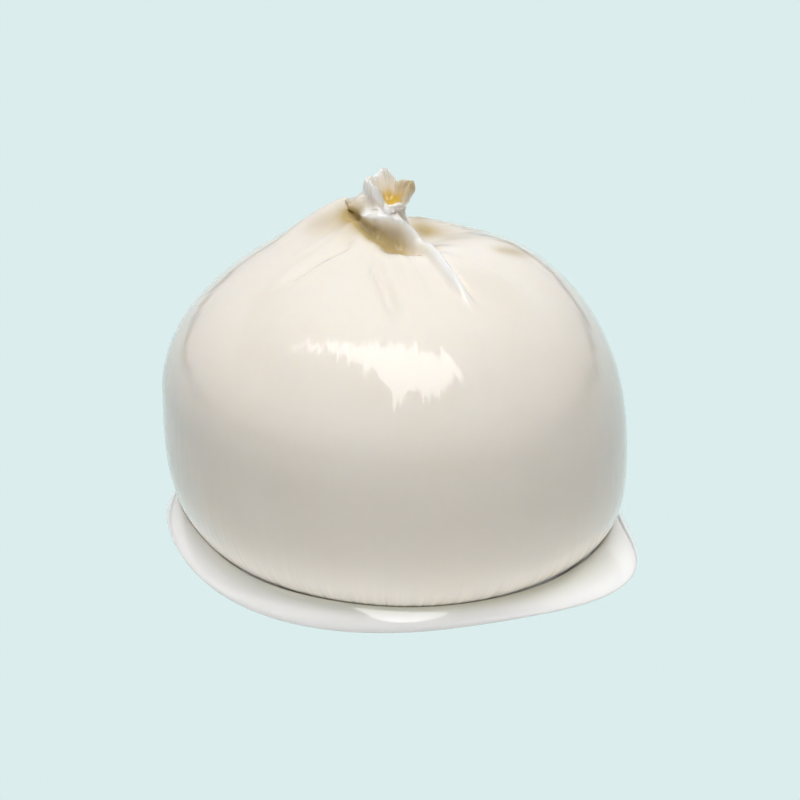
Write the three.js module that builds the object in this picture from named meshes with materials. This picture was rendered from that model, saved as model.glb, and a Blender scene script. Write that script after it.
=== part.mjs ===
// A burrata, the pouch of fresh cheese whose skin is gathered and knotted at the top, in the small
// glazed porcelain dish that it is served in. Millimetres, +Z up, the front of the object faces -Y.
//
// Both solids are profiles swept round an upright axis whose radius and height change with the angle.
// The burrata's profile is numbered by a stage from 0 to 4: 0 to 1 is the body, 1 to 2 the neck,
// 2 to 3 the outside of the knot, and 3 to 4 the inside of the knot's open end.

import * as THREE from 'three';
import { mergeVertices } from 'three/addons/utils/BufferGeometryUtils.js';

const DEGREE = Math.PI / 180;
const SLOPE_STEP = 0.02; // profile angle over which the body's slope is taken

// Gap left between the cheese and the floor of the dish.
const CONTACT_GAP = 0.3;

// The porcelain dish: soft three-cornered plan, round foot ring.
const DISH = {
  floorHeight: 4.7, // top of the flat floor above the table
  floorRadius: 22, // flat part of the floor
  wall: 3.0, // thickness of the floor and the sloping wall
  rimRadius: 43.9, // plan radius of the outermost edge between the corners
  rimHeight: 9.0, // height of that edge at the sides, between the corners
  backRise: 2.0, // the edge is this much higher at the back and lower at the front
  backAngle: 81,
  ovalAslant: 1.0, // how much the plan is drawn out along one diagonal
  cornerSpread: 0.31, // angular softness of a corner in plan, radians
  liftSpread: 0.35, // angular softness of a corner's upturn, radians
  wallPower: 3.4, // how late the floor turns up into the wall
  crestPower: 1.25, // how softly the wall meets the crest of the lip
  footRadius: 27, // outside of the foot ring
  footWidth: 3.0,
  footTaper: 1.0, // the foot ring is this much wider where it leaves the floor
  footRecess: 1.7, // height of the recess inside the foot ring
  centreX: 0.2, // the cheese sits a little forward of the dish's middle
  centreY: 4.4,
};

// The lip: from its crest it rolls outwards and down to the outermost edge.
const LIP = {
  width: 1.2, // from the crest out to the edge
  drop: 1.0, // from the crest down to the edge
  under: 1.2, // from the edge down to the underside
  crestReach: 0.25, // how far the crest runs level, of the width
  edgeReach: 0.3, // how far the edge stands upright, of the drop
  underReach: 0.6,
};

// Stretches where the lip is wider or its crest stands higher: direction, additions, softness in radians.
const FLARES = [
  { angle: -88, width: 0.9, drop: 1.75, spread: 0.6 },
  { angle: -145, width: 3.0, drop: 1.4, spread: 0.35 },
  { angle: -33.5, width: 6.6, drop: 0.6, spread: 0.3 },
  { angle: -114, width: 0, drop: 1.3, spread: 0.3 },
  { angle: -18, width: 0, drop: 1.5, spread: 0.28 },
  { angle: -172, width: 0, drop: 1.2, spread: 0.22 },
];

// Corners of the dish: direction, how far each pushes out, how far it turns up.
const CORNERS = [
  { angle: -175.4, push: 1.2, lift: 4.5 },
  { angle: -34.2, push: 8.8, lift: 0.8 },
  { angle: 75, push: 3.5, lift: 1.5 },
];

// The body of the cheese, sagging a little towards its right side.
const BODY = {
  radius: 44.9,
  lopside: 1.0, // the right side is this much wider, the left this much narrower
  centreX: -0.9,
  girthHeight: 33.6, // height of the widest ring
  girthTilt: 6.9, // the widest ring sits this much lower on the right, higher on the left
  topHeight: 71.5,
  bottomHeight: DISH.floorHeight + CONTACT_GAP,
  lowerPower: 3.35, // fullness of the profile below the widest ring
  upperPower: 2.1, // fullness of the profile above it
  upperPowerSwing: 0.17,
};

// The skin climbs towards the knot, most of all from the back left.
const GATHER = { height: 0.5, swing: 4.9, angle: 165, reach: 15, power: 1.7 };

const NECK = {
  x: -1.6,
  y: 3.0,
  joinRadius: 9.0, // where the body profile turns up into the neck
  joinReach: 2.6,
  tieReach: 2.5,
  radius: 4.2, // at the tie
  tieHeight: 76.2,
  driftOuter: 34, // radius within which the rings drift from the body's centre to the neck's
  leanX: 0.3,
  leanY: -0.4,
  leanFrom: 73,
  leanTo: 82,
};

// The open, frilled end of the knot.
const KNOT = {
  lipRadius: 4.3,
  belly: 0.7,
  lipHeight: 80.1,
  frill: 0.22, // small waves of the lip's height
  frillWaves: 7,
  frillPhase: 0.6,
  tieReach: 2,
  lipReach: 2.5,
  cavityHeight: 75.6,
  cavityRadius: 2.5,
  cavityShiftX: 0.5, // the hollow inside stands off to the right
  cavityShiftY: 0.3,
  cavityFrom: 3, // stages between which it moves there
  cavityTo: 3.7,
  lipRound: 1.0,
  lipInset: 0.9,
};

// Lobes of the lip: direction, how much each stands out above the rest, softness in radians.
const PEAKS = [
  { angle: 98, rise: 1.3, spread: 0.3 },
  { angle: 60, rise: -0.9, spread: 0.3 },
  { angle: 150, rise: 0.4, spread: 0.3 },
  { angle: -178, rise: -1.5, spread: 0.3 },
  { angle: -144, rise: 1.4, spread: 0.32 },
  { angle: 10, rise: 0.1, spread: 0.25 },
];

// The mouth at the front right, where the lip hangs low between two directions.
const MOUTH = { from: -110, to: -26, ease: 14, depth: 3.5 };

// The thick fold of skin that leans on the left side of the tie.
const SIDE_FOLD = { angle: 178, spread: 0.5, depth: 2.5, from: 1.2, crest: 1.9, to: 2.6 };

// Lobes of the frilled knot: waves round it, depth and phase, and the stages they grow and end at.
const FRILLS = [
  { waves: 3, depth: 0.35, phase: 0.2 },
  { waves: 5, depth: 0.3, phase: -1.2 },
  { waves: 9, depth: 0.2, phase: 0.4 },
];
const FRILL_STAGES = { from: 1.75, full: 2.9, ease: 3.3, to: 3.9 };

// Pleats of the gathered skin. The angle is where a pleat crosses the 10 mm circle round the neck,
// and twist is the degrees it turns for each e-fold of radius further out.
const PLEATS = [
  { form: 'ridge', angle: 163, twist: 8, depth: 1.5, width: 3.6, inner: 3, outer: 24 },
  { form: 'groove', angle: 140, twist: 4, depth: 1.3, width: 1.8, inner: 4, outer: 26 },
  { form: 'groove', angle: 108, twist: -8, depth: 1.2, width: 2.0, inner: 4, outer: 25 },
  { form: 'step', angle: 78, twist: 10, depth: 0.8, width: 2.4, inner: 4, outer: 30 },
  { form: 'groove', angle: 68, twist: 0, depth: 0.7, width: 9.0, inner: 5, outer: 36 },
  { form: 'groove', angle: 36, twist: 4, depth: 1.5, width: 7.0, inner: 3, outer: 30 },
  { form: 'ridge', angle: 20, twist: 0, depth: 0.3, width: 8.0, inner: 14, outer: 52 },
  { form: 'groove', angle: -150, twist: -6, depth: 0.35, width: 1.8, inner: 8, outer: 24 },
];
const PLEAT_CIRCLE = 10; // radius at which the angle of a pleat is taken
// A pleat has its stated width at this radius, and widens outwards to a limit.
const PLEAT_SPREAD = { radius: 14, most: 2 };
// Shares of the inner and outer radius over which a pleat comes in and fades out.
const PLEAT_WINDOW = { in: 0.8, full: 1.5, out: 0.45 };

// Fine gathers between the pleats: two sets of waves, faint on the right side.
const GATHERS = {
  depth: 0.34,
  waves: 11,
  twist: 2.6,
  wander: 0.9,
  wanderPhase: 0.5,
  finerWaves: 17,
  finerTwist: -2,
  finerShare: 0.4,
  inner: 7,
  outer: 19,
  calm: 0.85,
  calmAngle: 25,
  calmSpread: 0.7,
};

// The hollow in front of the neck.
const HOLLOW = { angle: -74, radius: 7.6, depth: 1.8, width: 2.6, spread: 0.5 };

// Folds and creases that run along their own lines over the skin. A line passes the named stages and
// angles. A positive height raises a fold, a negative one presses a crease in.
const FOLDS = [
  {
    // The strip of skin wound round the tie, which runs on down the shoulder.
    height: 1.9,
    width: 2.1,
    narrowing: 0.62,
    fadeIn: 0.12,
    fadeOut: 0.75,
    crispness: 3,
    stages: [1.78, 1.79, 1.79, 1.74, 1.62, 1.45, 1.25, 0.993, 0.95, 0.913, 0.883, 0.858, 0.832],
    angles: [-150, -130, -105, -80, -58, -43, -38, -41, -52.8, -56.2, -56.8, -56.2, -55],
  },
  {
    // The thick fold that leans on the tie's left side and passes under the strip.
    height: 0.8,
    width: 1.6,
    narrowing: 0.2,
    fadeIn: 0.35,
    fadeOut: 0.8,
    crispness: 2,
    stages: [2.2, 1.95, 1.75, 1.55, 1.45],
    angles: [-178, -165, -150, -130, -112],
  },
  {
    // The groove between that fold and the left shoulder.
    height: -0.9,
    width: 1.3,
    narrowing: 0,
    fadeIn: 0.2,
    fadeOut: 0.85,
    crispness: 2,
    stages: [1.25, 1.5, 1.42, 1.33, 1.26, 1.2],
    angles: [170, -172, -149, -126, -107, -94],
  },
  {
    // The middle pleat of the front.
    height: -1.4,
    width: 1.35,
    narrowing: 0,
    fadeIn: 0.2,
    fadeOut: 0.6,
    crispness: 2,
    stages: [0.975, 0.93, 0.893, 0.858, 0.81],
    angles: [-101, -95.2, -91, -88.5, -85.8],
  },
  {
    // The long pleat that curves to the left.
    height: -0.9,
    width: 1.5,
    narrowing: 0.2,
    fadeIn: 0.2,
    fadeOut: 0.7,
    crispness: 2,
    stages: [0.995, 0.963, 0.928, 0.89, 0.84],
    angles: [-123, -129, -135.8, -140, -142.5],
  },
];
const FOLD_STEPS = 24; // points on a fold's line for each span between two stages
const FOLD_END = 2.9; // stage up to which folds reach

// Mesh fineness.
const BURRATA_SEGMENTS = 112;
const BURRATA_RINGS = [
  { to: 0.5, rings: 11 },
  { to: 1, rings: 15 },
  { to: 2, rings: 7 },
  { to: 3, rings: 4 },
  { to: 4, rings: 4 },
];
const DISH_SEGMENTS = 90;
const DISH_WALL_STEPS = 7;
const DISH_LIP_STEPS = 4;

const WHITE_CHEESE = new THREE.MeshStandardMaterial({ color: 0xf1ebdd, roughness: 0.28, metalness: 0 });
const WHITE_PORCELAIN = new THREE.MeshStandardMaterial({ color: 0xeeeeea, roughness: 0.12, metalness: 0 });

function smooth(from, to, value) {
  const t = THREE.MathUtils.clamp((value - from) / (to - from), 0, 1);
  return t * t * (3 - 2 * t);
}

function bell(offset, width) {
  return Math.exp(-((offset / width) ** 2));
}

// The signed angle from one direction to another, within half a turn.
function turn(angle, from) {
  return THREE.MathUtils.euclideanModulo(angle - from + Math.PI, 2 * Math.PI) - Math.PI;
}

// A bell round a direction that stays smooth all the way round.
function roundBell(angle, centre, spread) {
  return Math.exp((Math.cos(angle - centre) - 1) / spread ** 2);
}

function bezier(a, b, c, d, t) {
  const s = 1 - t;
  return s ** 3 * a + 3 * s * s * t * b + 3 * s * t * t * c + t ** 3 * d;
}

// ---------- the porcelain dish ----------

function rimRadiusAt(angle) {
  const corners = CORNERS.map((c) => c.push * roundBell(angle, c.angle * DEGREE, DISH.cornerSpread));
  const oval = DISH.ovalAslant * Math.sin(2 * angle);
  return corners.reduce((sum, push) => sum + push, DISH.rimRadius + oval);
}

// The height of the inner face between floor (0) and crest (1), at a share of its width.
function wallClimb(share) {
  return 1 - (1 - share ** DISH.wallPower) ** DISH.crestPower;
}

function rimHeightAt(angle) {
  const lifts = CORNERS.map((c) => c.lift * roundBell(angle, c.angle * DEGREE, DISH.liftSpread));
  const slant = DISH.backRise * Math.cos(angle - DISH.backAngle * DEGREE);
  return lifts.reduce((sum, lift) => sum + lift, DISH.rimHeight + slant);
}

// The lip at one angle: its width, and the heights of its crest and of its underside.
function lipAt(angle) {
  let { width, drop } = LIP;
  for (const flare of FLARES) {
    const share = roundBell(angle, flare.angle * DEGREE, flare.spread);
    width += flare.width * share;
    drop += flare.drop * share;
  }
  const edge = rimHeightAt(angle);
  return { width, drop, edge, crest: edge + drop, bottom: edge - LIP.under };
}

// The inner face from the edge of the flat floor (0) to the crest of the lip (1).
function dishWallPoint(angle, share) {
  const lip = lipAt(angle);
  const radius = THREE.MathUtils.lerp(DISH.floorRadius, rimRadiusAt(angle) - lip.width, share);
  return { radius, height: THREE.MathUtils.lerp(DISH.floorHeight, lip.crest, wallClimb(share)) };
}

// The closed profile at one angle, from the underside of the floor round the foot and lip to the top.
function dishProfile(angle) {
  const lip = lipAt(angle);
  const outer = rimRadiusAt(angle);
  const crestRadius = outer - lip.width;
  const footInside = DISH.footRadius - DISH.footWidth;
  const under = (share) => {
    const inner = dishWallPoint(angle, share);
    const thickness = THREE.MathUtils.lerp(DISH.wall, lip.crest - lip.bottom, share);
    return new THREE.Vector2(inner.radius, inner.height - thickness);
  };
  const footShare = (DISH.footRadius - DISH.floorRadius) / (crestRadius - DISH.floorRadius);
  const points = [
    new THREE.Vector2(0, DISH.footRecess),
    new THREE.Vector2(footInside - DISH.footTaper, DISH.footRecess),
    new THREE.Vector2(footInside, 0),
    new THREE.Vector2(DISH.footRadius, 0),
  ];
  for (let i = 0; i < DISH_WALL_STEPS; i += 1) {
    points.push(under(THREE.MathUtils.lerp(footShare, 1, (i + 0.5) / DISH_WALL_STEPS)));
  }
  const upright = LIP.edgeReach * lip.drop;
  for (let i = 0; i <= DISH_LIP_STEPS; i += 1) {
    const t = i / DISH_LIP_STEPS;
    const x = bezier(crestRadius, crestRadius + LIP.underReach * lip.width, outer, outer, t);
    const y = bezier(lip.bottom, lip.bottom, lip.edge - upright, lip.edge, t);
    points.push(new THREE.Vector2(x, y));
  }
  for (let i = DISH_LIP_STEPS - 1; i > 0; i -= 1) {
    const t = i / DISH_LIP_STEPS;
    const x = bezier(crestRadius, crestRadius + LIP.crestReach * lip.width, outer, outer, t);
    const y = bezier(lip.crest, lip.crest, lip.edge + upright, lip.edge, t);
    points.push(new THREE.Vector2(x, y));
  }
  for (let i = DISH_WALL_STEPS; i >= 0; i -= 1) {
    const inner = dishWallPoint(angle, i / DISH_WALL_STEPS);
    points.push(new THREE.Vector2(inner.radius, inner.height));
  }
  points.push(new THREE.Vector2(0, DISH.floorHeight));
  return points;
}

// ---------- the cheese ----------

function bodyProfile(phi, angle) {
  const across = Math.cos(angle);
  const upper = phi >= 0;
  const power = upper ? BODY.upperPower + BODY.upperPowerSwing * across : BODY.lowerPower;
  const girth = BODY.girthHeight - BODY.girthTilt * across;
  const reach = upper ? BODY.topHeight - girth : girth - BODY.bottomHeight;
  const radius = (BODY.radius + BODY.lopside * across) * Math.abs(Math.cos(phi)) ** (2 / power);
  const climb = GATHER.height + GATHER.swing * Math.cos(angle - GATHER.angle * DEGREE);
  const gather = upper ? climb * Math.exp(-((radius / GATHER.reach) ** GATHER.power)) : 0;
  const height = girth + reach * Math.sign(phi) * Math.abs(Math.sin(phi)) ** (2 / power) + gather;
  return { radius, height };
}

// The profile angle at which the body has narrowed to the neck.
function joinPhi(angle) {
  const across = Math.cos(angle);
  const power = BODY.upperPower + BODY.upperPowerSwing * across;
  return Math.acos((NECK.joinRadius / (BODY.radius + BODY.lopside * across)) ** (power / 2));
}

// The height of the knot's lip: lobed all round, and low at the mouth.
function lipHeightAt(angle) {
  const frill = KNOT.frill * Math.cos(KNOT.frillWaves * angle + KNOT.frillPhase);
  const rises = PEAKS.map((peak) => peak.rise * roundBell(angle, peak.angle * DEGREE, peak.spread));
  const middle = (MOUTH.from + MOUTH.to) / 2;
  const aside = turn(angle, middle * DEGREE) / DEGREE + middle;
  const opens = smooth(MOUTH.from - MOUTH.ease, MOUTH.from + MOUTH.ease, aside);
  const closes = smooth(MOUTH.to - MOUTH.ease, MOUTH.to + MOUTH.ease, aside);
  return rises.reduce((sum, rise) => sum + rise, KNOT.lipHeight + frill) - MOUTH.depth * (opens - closes);
}

// Radius and height of the smooth skin at one stage of the profile.
function skinProfile(stage, angle) {
  const top = joinPhi(angle);
  if (stage <= 1) {
    return bodyProfile(-Math.PI / 2 + stage * (top + Math.PI / 2), angle);
  }
  if (stage <= 2) {
    const join = bodyProfile(top, angle);
    const before = bodyProfile(top - SLOPE_STEP, angle);
    const slope = (join.height - before.height) / (join.radius - before.radius);
    const t = stage - 1;
    return {
      radius: bezier(join.radius, join.radius - NECK.joinReach, NECK.radius, NECK.radius, t),
      height: bezier(
        join.height,
        join.height - NECK.joinReach * slope,
        NECK.tieHeight - NECK.tieReach,
        NECK.tieHeight,
        t,
      ),
    };
  }
  const lip = lipHeightAt(angle);
  if (stage <= 3) {
    const t = stage - 2;
    return {
      radius: bezier(NECK.radius, NECK.radius, KNOT.lipRadius + KNOT.belly, KNOT.lipRadius, t),
      height: bezier(NECK.tieHeight, NECK.tieHeight + KNOT.tieReach, lip - KNOT.lipReach, lip, t),
    };
  }
  const t = stage - 3;
  return {
    radius: bezier(KNOT.lipRadius, KNOT.lipRadius - KNOT.lipInset, KNOT.cavityRadius, 0, t),
    height: bezier(lip, lip + KNOT.lipRound, KNOT.cavityHeight, KNOT.cavityHeight, t),
  };
}

// The smooth skin in space. Rings drift from the body's axis to the neck's, and the knot leans.
function skinPoint(stage, angle) {
  const { radius, height } = skinProfile(stage, angle);
  const near = 1 - smooth(NECK.joinRadius, NECK.driftOuter, radius);
  const drift = stage > 1 ? 1 : stage > 0.5 ? near : 0;
  const lean = stage > 1 ? smooth(NECK.leanFrom, NECK.leanTo, height) : 0;
  const inside = smooth(KNOT.cavityFrom, KNOT.cavityTo, stage);
  const centre = THREE.MathUtils.lerp(BODY.centreX, NECK.x, drift);
  const x = centre + NECK.leanX * lean + KNOT.cavityShiftX * inside;
  const y = NECK.y * drift + NECK.leanY * lean + KNOT.cavityShiftY * inside;
  const place = new THREE.Vector3(x + radius * Math.cos(angle), y + radius * Math.sin(angle), height);
  return { place, radius };
}

// Cross-sections of a pleat of depth 1, at an offset from its line over its width.
const STEP_STEEPNESS = 1.6;
const PLEAT_FORMS = {
  groove: (u) => -Math.exp(-u * u),
  ridge: (u) => Math.exp(-u * u),
  step: (u) => STEP_STEEPNESS * u * Math.exp(-u * u),
};

function pleatRelief(radius, angle) {
  let relief = 0;
  for (const pleat of PLEATS) {
    const line = (pleat.angle + pleat.twist * Math.log(radius / PLEAT_CIRCLE)) * DEGREE;
    const width = pleat.width * (0.5 + 0.5 * Math.min(radius / PLEAT_SPREAD.radius, PLEAT_SPREAD.most));
    const u = (turn(angle, line) * radius) / width;
    const window = smooth(PLEAT_WINDOW.in * pleat.inner, PLEAT_WINDOW.full * pleat.inner, radius);
    const fade = 1 - smooth(PLEAT_WINDOW.out * pleat.outer, pleat.outer, radius);
    relief += pleat.depth * PLEAT_FORMS[pleat.form](u) * window * fade;
  }
  return relief;
}

function gatherRelief(radius, angle) {
  const g = GATHERS;
  const spiral = Math.log(radius / (PLEAT_CIRCLE / 2));
  const wave = g.waves * angle + g.twist * spiral + g.wander * Math.sin(2 * angle + g.wanderPhase);
  const finer = Math.cos(g.finerWaves * angle + g.finerTwist * spiral);
  const fade = 1 - smooth(g.inner, g.outer, radius);
  const calm = 1 - g.calm * roundBell(angle, g.calmAngle * DEGREE, g.calmSpread);
  return g.depth * ((1 - g.finerShare) * Math.cos(wave) + g.finerShare * finer) * fade * calm;
}

function hollowRelief(radius, angle) {
  const aside = turn(angle, HOLLOW.angle * DEGREE);
  return -HOLLOW.depth * bell(radius - HOLLOW.radius, HOLLOW.width) * bell(aside, HOLLOW.spread);
}

// The points of every fold's line over the smooth skin.
const foldLines = FOLDS.map((fold) => {
  const points = fold.stages.map((stage, i) => skinPoint(stage, fold.angles[i] * DEGREE).place);
  const curve = new THREE.CatmullRomCurve3(points, false, 'catmullrom', 0.5);
  return curve.getPoints(FOLD_STEPS * (points.length - 1));
});

// The height that a fold adds at a place on the smooth skin.
function foldRelief(fold, line, place) {
  let nearest = 0;
  for (let i = 1; i < line.length; i += 1) {
    if (place.distanceToSquared(line[i]) < place.distanceToSquared(line[nearest])) {
      nearest = i;
    }
  }
  const share = nearest / (line.length - 1);
  const width = fold.width * (1 - fold.narrowing * Math.sqrt(share));
  const fade = smooth(0, fold.fadeIn, share) * (1 - smooth(fold.fadeOut, 1, share));
  return fold.height * fade * Math.exp(-((place.distanceTo(line[nearest]) / width) ** fold.crispness));
}

function frillRelief(stage, angle) {
  const { from, full, ease, to } = FRILL_STAGES;
  const grown = smooth(from, full, stage) * (1 - smooth(ease, to, stage));
  return FRILLS.reduce((sum, f) => sum + f.depth * Math.cos(f.waves * angle + f.phase), 0) * grown;
}

function sideFoldRelief(stage, angle) {
  const { from, crest, to } = SIDE_FOLD;
  const swell = smooth(from, crest, stage) * (1 - smooth(crest, to, stage));
  return SIDE_FOLD.depth * swell * roundBell(angle, SIDE_FOLD.angle * DEGREE, SIDE_FOLD.spread);
}

// The finished skin: the smooth one, moved along its normal by every fold.
function burrataPoint(stage, angle) {
  const { place, radius } = skinPoint(stage, angle);
  const span = Math.max(radius, 1);
  let relief = 0;
  if (stage > 0.5 && stage <= 2) {
    relief += pleatRelief(span, angle) + gatherRelief(span, angle);
    relief += hollowRelief(span, angle);
  }
  if (stage > 0.5 && stage <= FOLD_END) {
    relief += FOLDS.reduce((sum, fold, i) => sum + foldRelief(fold, foldLines[i], place), 0);
  }
  const top = joinPhi(angle);
  const phi = stage <= 1 ? -Math.PI / 2 + stage * (top + Math.PI / 2) : top * Math.max(2 - stage, 0);
  const outwards = relief * Math.cos(phi) + frillRelief(stage, angle) + sideFoldRelief(stage, angle);
  place.x += outwards * Math.cos(angle);
  place.y += outwards * Math.sin(angle);
  place.z += relief * Math.sin(phi);
  return place;
}

// ---------- meshes ----------

// Sweeps a row of stages round the axis, and places each vertex by a function of stage and angle.
function sweptGeometry(stages, segments, placeAt) {
  const last = stages.length - 1;
  const row = stages.map((_, i) => new THREE.Vector2(i === 0 || i === last ? 0 : 1, i));
  const geometry = new THREE.LatheGeometry(row, segments);
  geometry.deleteAttribute('normal');
  geometry.deleteAttribute('uv');
  const position = geometry.getAttribute('position');
  for (let i = 0; i < position.count; i += 1) {
    const angle = Math.atan2(-position.getZ(i), position.getX(i));
    const step = Math.round(position.getY(i));
    const place = placeAt(stages[step], angle);
    position.setXYZ(i, place.x, place.y, place.z);
  }
  return mergeVertices(geometry, 1e-4);
}

function burrataGeometry() {
  const stages = [0];
  for (const { to, rings } of BURRATA_RINGS) {
    const from = stages[stages.length - 1];
    for (let i = 1; i <= rings; i += 1) {
      stages.push(THREE.MathUtils.lerp(from, to, i / rings));
    }
  }
  return sweptGeometry(stages, BURRATA_SEGMENTS, burrataPoint);
}

function dishGeometry() {
  const count = dishProfile(0).length;
  const steps = Array.from({ length: count }, (_, i) => i);
  return sweptGeometry(steps, DISH_SEGMENTS, (step, angle) => {
    const point = dishProfile(angle)[step];
    const x = DISH.centreX + point.x * Math.cos(angle);
    const y = DISH.centreY + point.x * Math.sin(angle);
    return new THREE.Vector3(x, y, point.y);
  });
}

function namedMesh(name, geometry, material) {
  const mesh = new THREE.Mesh(geometry, material);
  mesh.name = name;
  return mesh;
}

const object = new THREE.Group();
object.add(namedMesh('dish', dishGeometry(), WHITE_PORCELAIN));
object.add(namedMesh('burrata', burrataGeometry(), WHITE_CHEESE));

// The origin is the middle of the object's footprint, on the table.
const middle = new THREE.Box3().setFromObject(object).getCenter(new THREE.Vector3());
for (const mesh of object.children) {
  mesh.geometry.translate(-middle.x, -middle.y, 0);
}

export default object;
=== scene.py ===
"""A burrata in its glazed porcelain dish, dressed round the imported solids.

The cheese is a pouch of stretched curd whose skin is gathered, tied and left open at the top. The
dish is a small soft-cornered one with a rolled lip. Both are swept shapes: an operator's grid gives
the rings and meridians, a stage along the profile and an angle round the axis name each point, and
plain functions of the two say where the point stands. Sizes are millimetres and angles are degrees
unless a name or a comment says otherwise; meshes are in metres.
"""

import logging
from collections.abc import Callable
from dataclasses import dataclass
from enum import Enum
from math import cos, pi, radians, sin

import bmesh
import bpy
import numpy as np
from bmesh.types import BMesh
from bpy.types import Material, Mesh, Node, NodeSocket, NodeTree, Object
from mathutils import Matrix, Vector


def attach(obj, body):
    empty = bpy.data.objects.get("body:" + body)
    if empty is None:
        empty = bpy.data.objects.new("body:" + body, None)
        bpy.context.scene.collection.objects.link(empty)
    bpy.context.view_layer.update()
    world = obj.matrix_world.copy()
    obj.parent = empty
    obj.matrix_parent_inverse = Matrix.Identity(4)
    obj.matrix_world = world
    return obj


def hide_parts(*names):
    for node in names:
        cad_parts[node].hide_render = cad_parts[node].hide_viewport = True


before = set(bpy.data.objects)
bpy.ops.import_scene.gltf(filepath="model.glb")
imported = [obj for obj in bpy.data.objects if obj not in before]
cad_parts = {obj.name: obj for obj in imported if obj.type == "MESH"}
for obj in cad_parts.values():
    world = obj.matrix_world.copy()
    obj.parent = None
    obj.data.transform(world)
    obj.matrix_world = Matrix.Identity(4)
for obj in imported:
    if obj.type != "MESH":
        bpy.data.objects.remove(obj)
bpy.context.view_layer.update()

LOG = logging.getLogger("burrata")
MM = 0.001
Array = np.ndarray
Pair = tuple[float, float]
Triple = tuple[float, float, float]
Quad = tuple[float, float, float, float]

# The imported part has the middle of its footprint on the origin; the sizes below are drawn from the
# cheese's own axis, which stands this far from that middle.
AXIS_SHIFT = Vector((-0.9998, -3.2268, 0.0))


# ---------- curves and falloffs ----------


def smooth(low: float, high: float, value: Array) -> Array:
    """Eases from 0 at low to 1 at high, flat at both ends."""
    t = np.clip((np.asarray(value, float) - low) / (high - low), 0.0, 1.0)
    return t * t * (3.0 - 2.0 * t)


def blend(start: Array, end: Array, share: Array) -> Array:
    """Goes straight from start at share 0 to end at share 1."""
    return start + (end - start) * share


def bell(offset: Array, width: Array) -> Array:
    """A bell of height 1 round offset 0."""
    return np.exp(-((offset / width) ** 2))


def turn(angle: Array, start: Array) -> Array:
    """The signed angle from start to angle, within half a turn, in radians."""
    return (angle - start + pi) % (2.0 * pi) - pi


def round_bell(angle: Array, centre: float, spread: float) -> Array:
    """A bell round a direction that stays smooth all the way round, in radians."""
    return np.exp((np.cos(angle - centre) - 1.0) / spread**2)


def bezier(a: Array, b: Array, c: Array, d: Array, t: Array) -> Array:
    """A cubic curve from a to d that leaves towards b and arrives from c."""
    s = 1.0 - t
    return s**3 * a + 3.0 * s * s * t * b + 3.0 * s * t * t * c + t**3 * d


def catmull_rom(points: Array, steps: int) -> Array:
    """Runs a smooth curve through every point.

    Args:
        points: One point a row.
        steps: Samples for each span between two points.

    Returns:
        The samples, one a row.
    """
    padded = np.vstack([2 * points[0] - points[1], points, 2 * points[-1] - points[-2]])
    t = np.linspace(0.0, 1.0, steps, endpoint=False)[:, None]
    spans = []
    for p0, p1, p2, p3 in zip(padded, padded[1:], padded[2:], padded[3:]):
        cubic = (-p0 + 3 * p1 - 3 * p2 + p3) * t**3
        lower = 2 * p1 + (p2 - p0) * t + (2 * p0 - 5 * p1 + 4 * p2 - p3) * t * t
        spans.append(0.5 * (lower + cubic))
    return np.vstack([*spans, points[-1:]])


# ---------- colours and shader nodes ----------


def linear(hex_colour: str) -> Quad:
    """Turns an sRGB hex colour into the linear colour that a shader takes."""
    parts = [int(hex_colour.lstrip("#")[i : i + 2], 16) / 255 for i in (0, 2, 4)]
    return (*(c / 12.92 if c <= 0.04045 else ((c + 0.055) / 1.055) ** 2.4 for c in parts), 1.0)


def add_node(
    tree: NodeTree,
    kind: str,
    values: dict | None = None,
    links: dict | None = None,
    **settings: object,
) -> Node:
    """Adds one shader node.

    Args:
        tree: The node tree that takes it.
        kind: The node's type without its ShaderNode, such as Bump.
        values: Input socket names or numbers, and their values.
        links: Input socket names or numbers, and the output sockets that feed them.
        settings: The node's own properties.

    Returns:
        The new node.
    """
    node = tree.nodes.new(f"ShaderNode{kind}")
    for name, value in settings.items():
        setattr(node, name, value)
    for socket, value in (values or {}).items():
        node.inputs[socket].default_value = value
    for socket, source in (links or {}).items():
        tree.links.new(source, node.inputs[socket])
    return node


def new_material(name: str) -> tuple[Material, NodeTree]:
    """Makes an empty node material and returns it with its tree."""
    material = bpy.data.materials.new(name)
    material.use_nodes = True
    material.node_tree.nodes.clear()
    return material, material.node_tree


def mix_colours(tree: NodeTree, share: NodeSocket, base: NodeSocket | str, top: str) -> NodeSocket:
    """Lays one colour over another.

    Args:
        tree: The node tree that takes the mix.
        share: The socket that says how much of the top colour shows, from 0 to 1.
        base: The colour beneath, as a socket or in sRGB hex.
        top: The colour on top, in sRGB hex.

    Returns:
        The socket that gives the outcome.
    """
    # A Mix node's sockets go by number, because their names repeat for each kind of value.
    share_in, base_in, top_in, colour_out = 0, 6, 7, 2
    values, links = {top_in: linear(top)}, {share_in: share}
    if isinstance(base, str):
        values[base_in] = linear(base)
    else:
        links[base_in] = base
    return add_node(tree, "Mix", values, links, data_type="RGBA").outputs[colour_out]


def stored_share(tree: NodeTree, name: str) -> NodeSocket:
    """Reads a number that the mesh stores at each vertex."""
    return add_node(tree, "Attribute", attribute_name=name).outputs["Fac"]


# ---------- meshes ----------


@dataclass(frozen=True)
class Rings:
    """How finely a swept shape is divided along one part of its profile."""

    to_stage: float
    count: int


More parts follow.
